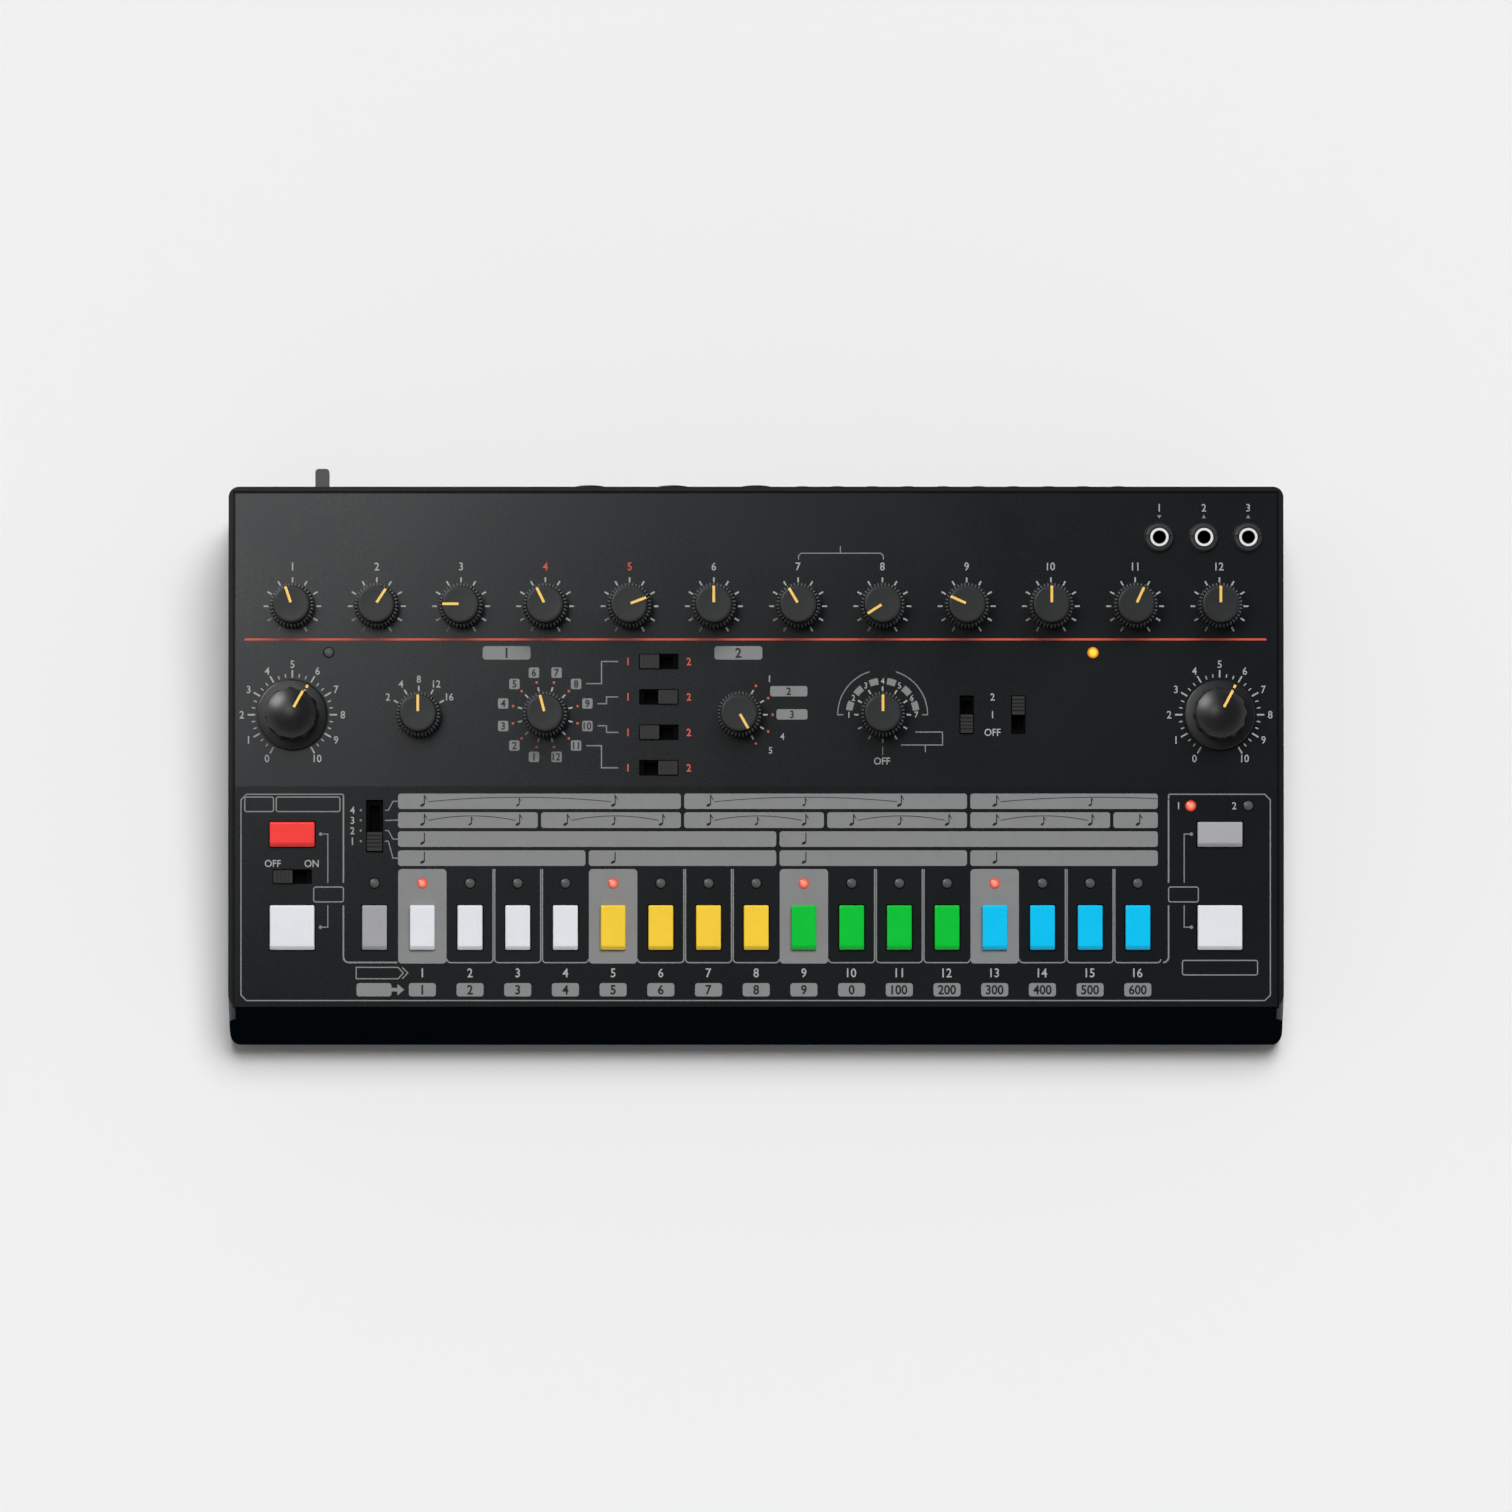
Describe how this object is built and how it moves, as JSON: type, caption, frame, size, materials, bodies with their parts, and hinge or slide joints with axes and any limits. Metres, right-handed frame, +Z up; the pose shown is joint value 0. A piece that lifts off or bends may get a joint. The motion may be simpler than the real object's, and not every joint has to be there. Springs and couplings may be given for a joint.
{
  "type": "drum machine",
  "caption": "Desktop drum machine with a sloping panel of knobs, colour-coded step keys, slide switches, lamps and jack sockets.",
  "frame": {"origin": "on the table under the middle of the machine", "axes": "+X to the player's right, +Y to the rear, +Z up"},
  "size_m": [0.305, 0.166, 0.0561],
  "materials": {
    "black_plastic": "fine satin",
    "coated_steel": "satin powder coat",
    "board": "solder mask",
    "grey_metal": "plated",
    "switch_plastic": "matte",
    "lamp_plastic": "gloss",
    "socket_plastic": "satin",
    "screw_steel": "zinc",
    "foot_rubber": "matte",
    "knob_plastic": "satin",
    "slide_plastic": "satin",
    "lever_plastic": "satin",
    "grey_key": "satin",
    "white_key": "satin",
    "yellow_key": "satin",
    "green_key": "satin",
    "blue_key": "satin",
    "red_key": "satin"
  },
  "bodies": {
    "case": {"lower_case": "black_plastic", "front_nose": "black_plastic", "steel_panel": "coated_steel", "circuit_boards": "board", "pot_bodies": "grey_metal", "key_switches": "switch_plastic", "slide_switch_bodies": "switch_plastic", "lamps": "lamp_plastic", "jack_sockets": "socket_plastic", "data_sockets": "socket_plastic", "fasteners": "screw_steel", "rubber_feet": "foot_rubber"},
    "level_knob_01": {"level_knob_01": "knob_plastic"},
    "level_knob_02": {"level_knob_02": "knob_plastic"},
    "level_knob_03": {"level_knob_03": "knob_plastic"},
    "level_knob_04": {"level_knob_04": "knob_plastic"},
    "level_knob_05": {"level_knob_05": "knob_plastic"},
    "level_knob_06": {"level_knob_06": "knob_plastic"},
    "level_knob_07": {"level_knob_07": "knob_plastic"},
    "level_knob_08": {"level_knob_08": "knob_plastic"},
    "level_knob_09": {"level_knob_09": "knob_plastic"},
    "level_knob_10": {"level_knob_10": "knob_plastic"},
    "level_knob_11": {"level_knob_11": "knob_plastic"},
    "level_knob_12": {"level_knob_12": "knob_plastic"},
    "tempo_knob": {"tempo_knob": "knob_plastic"},
    "volume_knob": {"volume_knob": "knob_plastic"},
    "measure_knob": {"measure_knob": "knob_plastic"},
    "instrument_knob": {"instrument_knob": "knob_plastic"},
    "pattern_knob": {"pattern_knob": "knob_plastic"},
    "fill_knob": {"fill_knob": "knob_plastic"},
    "step_key_01": {"step_key_01": "white_key"},
    "step_key_02": {"step_key_02": "white_key"},
    "step_key_03": {"step_key_03": "white_key"},
    "step_key_04": {"step_key_04": "white_key"},
    "step_key_05": {"step_key_05": "yellow_key"},
    "step_key_06": {"step_key_06": "yellow_key"},
    "step_key_07": {"step_key_07": "yellow_key"},
    "step_key_08": {"step_key_08": "yellow_key"},
    "step_key_09": {"step_key_09": "green_key"},
    "step_key_10": {"step_key_10": "green_key"},
    "step_key_11": {"step_key_11": "green_key"},
    "step_key_12": {"step_key_12": "green_key"},
    "step_key_13": {"step_key_13": "blue_key"},
    "step_key_14": {"step_key_14": "blue_key"},
    "step_key_15": {"step_key_15": "blue_key"},
    "step_key_16": {"step_key_16": "blue_key"},
    "cancel_key": {"cancel_key": "grey_key"},
    "clear_button": {"clear_button": "red_key"},
    "group_button": {"group_button": "grey_key"},
    "start_button": {"start_button": "white_key"},
    "write_button": {"write_button": "white_key"},
    "voice_slider_1": {"voice_slider_1": "slide_plastic"},
    "voice_slider_2": {"voice_slider_2": "slide_plastic"},
    "voice_slider_3": {"voice_slider_3": "slide_plastic"},
    "voice_slider_4": {"voice_slider_4": "slide_plastic"},
    "fade_in_slider": {"fade_in_slider": "slide_plastic"},
    "fade_out_slider": {"fade_out_slider": "slide_plastic"},
    "auto_slider": {"auto_slider": "slide_plastic"},
    "scale_slider": {"scale_slider": "slide_plastic"},
    "power_slider": {"power_slider": "lever_plastic"}
  },
  "joints": [
    {"name": "level_knob_01_turn", "type": "hinge", "parent": "case", "child": "level_knob_01", "pos_m": [-0.13398, 0.03964, 0.04182], "axis": [0, -0.1149, 0.9934], "range_deg": [-168.6, 131.4]},
    {"name": "level_knob_02_turn", "type": "hinge", "parent": "case", "child": "level_knob_02", "pos_m": [-0.10962, 0.03964, 0.04182], "axis": [0, -0.1149, 0.9934], "range_deg": [-116.5, 183.5]},
    {"name": "level_knob_03_turn", "type": "hinge", "parent": "case", "child": "level_knob_03", "pos_m": [-0.08526, 0.03964, 0.04182], "axis": [0, -0.1149, 0.9934], "range_deg": [-240, 60]},
    {"name": "level_knob_04_turn", "type": "hinge", "parent": "case", "child": "level_knob_04", "pos_m": [-0.0609, 0.03964, 0.04182], "axis": [0, -0.1149, 0.9934], "range_deg": [-176.3, 123.7]},
    {"name": "level_knob_05_turn", "type": "hinge", "parent": "case", "child": "level_knob_05", "pos_m": [-0.03654, 0.03964, 0.04182], "axis": [0, -0.1149, 0.9934], "range_deg": [-80.8, 219.2]},
    {"name": "level_knob_06_turn", "type": "hinge", "parent": "case", "child": "level_knob_06", "pos_m": [-0.01218, 0.03964, 0.04182], "axis": [0, -0.1149, 0.9934], "range_deg": [-150, 150]},
    {"name": "level_knob_07_turn", "type": "hinge", "parent": "case", "child": "level_knob_07", "pos_m": [0.01218, 0.03964, 0.04182], "axis": [0, -0.1149, 0.9934], "range_deg": [-180.4, 119.6]},
    {"name": "level_knob_08_turn", "type": "hinge", "parent": "case", "child": "level_knob_08", "pos_m": [0.03654, 0.03964, 0.04182], "axis": [0, -0.1149, 0.9934], "range_deg": [-272.7, 27.3]},
    {"name": "level_knob_09_turn", "type": "hinge", "parent": "case", "child": "level_knob_09", "pos_m": [0.0609, 0.03964, 0.04182], "axis": [0, -0.1149, 0.9934], "range_deg": [-215.4, 84.6]},
    {"name": "level_knob_10_turn", "type": "hinge", "parent": "case", "child": "level_knob_10", "pos_m": [0.08526, 0.03964, 0.04182], "axis": [0, -0.1149, 0.9934], "range_deg": [-150, 150]},
    {"name": "level_knob_11_turn", "type": "hinge", "parent": "case", "child": "level_knob_11", "pos_m": [0.10962, 0.03964, 0.04182], "axis": [0, -0.1149, 0.9934], "range_deg": [-124.9, 175.1]},
    {"name": "level_knob_12_turn", "type": "hinge", "parent": "case", "child": "level_knob_12", "pos_m": [0.13398, 0.03964, 0.04182], "axis": [0, -0.1149, 0.9934], "range_deg": [-150, 150]},
    {"name": "tempo_knob_turn", "type": "hinge", "parent": "case", "child": "tempo_knob", "pos_m": [-0.134, 0.00845, 0.03821], "axis": [0, -0.1149, 0.9934], "range_deg": [-122, 178]},
    {"name": "volume_knob_turn", "type": "hinge", "parent": "case", "child": "volume_knob", "pos_m": [0.134, 0.00845, 0.03821], "axis": [0, -0.1149, 0.9934], "range_deg": [-122, 178]},
    {"name": "measure_knob_turn", "type": "hinge", "parent": "case", "child": "measure_knob", "pos_m": [-0.09745, 0.00845, 0.03821], "axis": [0, -0.1149, 0.9934], "range_deg": [-60, 60]},
    {"name": "instrument_knob_turn", "type": "hinge", "parent": "case", "child": "instrument_knob", "pos_m": [-0.0609, 0.00845, 0.03821], "axis": [0, -0.1149, 0.9934], "range_deg": [-180, 150]},
    {"name": "pattern_knob_turn", "type": "hinge", "parent": "case", "child": "pattern_knob", "pos_m": [-0.00484, 0.00845, 0.03821], "axis": [0, -0.1149, 0.9934], "range_deg": [0, 120]},
    {"name": "fill_knob_turn", "type": "hinge", "parent": "case", "child": "fill_knob", "pos_m": [0.0366, 0.00845, 0.03821], "axis": [0, -0.1149, 0.9934], "range_deg": [-150, 180]},
    {"name": "step_key_01_press", "type": "slide", "parent": "case", "child": "step_key_01", "axis": [0, 0.1478, -0.989], "range_m": [0, 0.0007], "stiffness_N_per_m": 350, "springref_m": -0.0006},
    {"name": "step_key_02_press", "type": "slide", "parent": "case", "child": "step_key_02", "axis": [0, 0.1478, -0.989], "range_m": [0, 0.0007], "stiffness_N_per_m": 350, "springref_m": -0.0006},
    {"name": "step_key_03_press", "type": "slide", "parent": "case", "child": "step_key_03", "axis": [0, 0.1478, -0.989], "range_m": [0, 0.0007], "stiffness_N_per_m": 350, "springref_m": -0.0006},
    {"name": "step_key_04_press", "type": "slide", "parent": "case", "child": "step_key_04", "axis": [0, 0.1478, -0.989], "range_m": [0, 0.0007], "stiffness_N_per_m": 350, "springref_m": -0.0006},
    {"name": "step_key_05_press", "type": "slide", "parent": "case", "child": "step_key_05", "axis": [0, 0.1478, -0.989], "range_m": [0, 0.0007], "stiffness_N_per_m": 350, "springref_m": -0.0006},
    {"name": "step_key_06_press", "type": "slide", "parent": "case", "child": "step_key_06", "axis": [0, 0.1478, -0.989], "range_m": [0, 0.0007], "stiffness_N_per_m": 350, "springref_m": -0.0006},
    {"name": "step_key_07_press", "type": "slide", "parent": "case", "child": "step_key_07", "axis": [0, 0.1478, -0.989], "range_m": [0, 0.0007], "stiffness_N_per_m": 350, "springref_m": -0.0006},
    {"name": "step_key_08_press", "type": "slide", "parent": "case", "child": "step_key_08", "axis": [0, 0.1478, -0.989], "range_m": [0, 0.0007], "stiffness_N_per_m": 350, "springref_m": -0.0006},
    {"name": "step_key_09_press", "type": "slide", "parent": "case", "child": "step_key_09", "axis": [0, 0.1478, -0.989], "range_m": [0, 0.0007], "stiffness_N_per_m": 350, "springref_m": -0.0006},
    {"name": "step_key_10_press", "type": "slide", "parent": "case", "child": "step_key_10", "axis": [0, 0.1478, -0.989], "range_m": [0, 0.0007], "stiffness_N_per_m": 350, "springref_m": -0.0006},
    {"name": "step_key_11_press", "type": "slide", "parent": "case", "child": "step_key_11", "axis": [0, 0.1478, -0.989], "range_m": [0, 0.0007], "stiffness_N_per_m": 350, "springref_m": -0.0006},
    {"name": "step_key_12_press", "type": "slide", "parent": "case", "child": "step_key_12", "axis": [0, 0.1478, -0.989], "range_m": [0, 0.0007], "stiffness_N_per_m": 350, "springref_m": -0.0006},
    {"name": "step_key_13_press", "type": "slide", "parent": "case", "child": "step_key_13", "axis": [0, 0.1478, -0.989], "range_m": [0, 0.0007], "stiffness_N_per_m": 350, "springref_m": -0.0006},
    {"name": "step_key_14_press", "type": "slide", "parent": "case", "child": "step_key_14", "axis": [0, 0.1478, -0.989], "range_m": [0, 0.0007], "stiffness_N_per_m": 350, "springref_m": -0.0006},
    {"name": "step_key_15_press", "type": "slide", "parent": "case", "child": "step_key_15", "axis": [0, 0.1478, -0.989], "range_m": [0, 0.0007], "stiffness_N_per_m": 350, "springref_m": -0.0006},
    {"name": "step_key_16_press", "type": "slide", "parent": "case", "child": "step_key_16", "axis": [0, 0.1478, -0.989], "range_m": [0, 0.0007], "stiffness_N_per_m": 350, "springref_m": -0.0006},
    {"name": "cancel_key_press", "type": "slide", "parent": "case", "child": "cancel_key", "axis": [0, 0.1478, -0.989], "range_m": [0, 0.0007], "stiffness_N_per_m": 350, "springref_m": -0.0006},
    {"name": "clear_button_press", "type": "slide", "parent": "case", "child": "clear_button", "axis": [0, 0.1478, -0.989], "range_m": [0, 0.0007], "stiffness_N_per_m": 350, "springref_m": -0.0006},
    {"name": "group_button_press", "type": "slide", "parent": "case", "child": "group_button", "axis": [0, 0.1478, -0.989], "range_m": [0, 0.0007], "stiffness_N_per_m": 350, "springref_m": -0.0006},
    {"name": "start_button_press", "type": "slide", "parent": "case", "child": "start_button", "axis": [0, 0.1478, -0.989], "range_m": [0, 0.0007], "stiffness_N_per_m": 350, "springref_m": -0.0006},
    {"name": "write_button_press", "type": "slide", "parent": "case", "child": "write_button", "axis": [0, 0.1478, -0.989], "range_m": [0, 0.0007], "stiffness_N_per_m": 350, "springref_m": -0.0006},
    {"name": "voice_slider_1_slide", "type": "slide", "parent": "case", "child": "voice_slider_1", "axis": [1, 0, 0], "range_m": [0, 0.0053]},
    {"name": "voice_slider_2_slide", "type": "slide", "parent": "case", "child": "voice_slider_2", "axis": [1, 0, 0], "range_m": [-0.0053, 0]},
    {"name": "voice_slider_3_slide", "type": "slide", "parent": "case", "child": "voice_slider_3", "axis": [1, 0, 0], "range_m": [0, 0.0053]},
    {"name": "voice_slider_4_slide", "type": "slide", "parent": "case", "child": "voice_slider_4", "axis": [1, 0, 0], "range_m": [-0.0053, 0]},
    {"name": "fade_in_slider_slide", "type": "slide", "parent": "case", "child": "fade_in_slider", "axis": [0, 0.9934, 0.1149], "range_m": [0, 0.0053]},
    {"name": "fade_out_slider_slide", "type": "slide", "parent": "case", "child": "fade_out_slider", "axis": [0, 0.9934, 0.1149], "range_m": [-0.0053, 0]},
    {"name": "auto_slider_slide", "type": "slide", "parent": "case", "child": "auto_slider", "axis": [1, 0, 0], "range_m": [0, 0.0053]},
    {"name": "scale_slider_slide", "type": "slide", "parent": "case", "child": "scale_slider", "axis": [0, 0.989, 0.1478], "range_m": [0, 0.0089]},
    {"name": "power_slider_slide", "type": "slide", "parent": "case", "child": "power_slider", "axis": [1, 0, 0], "range_m": [0, 0.004]}
  ]
}
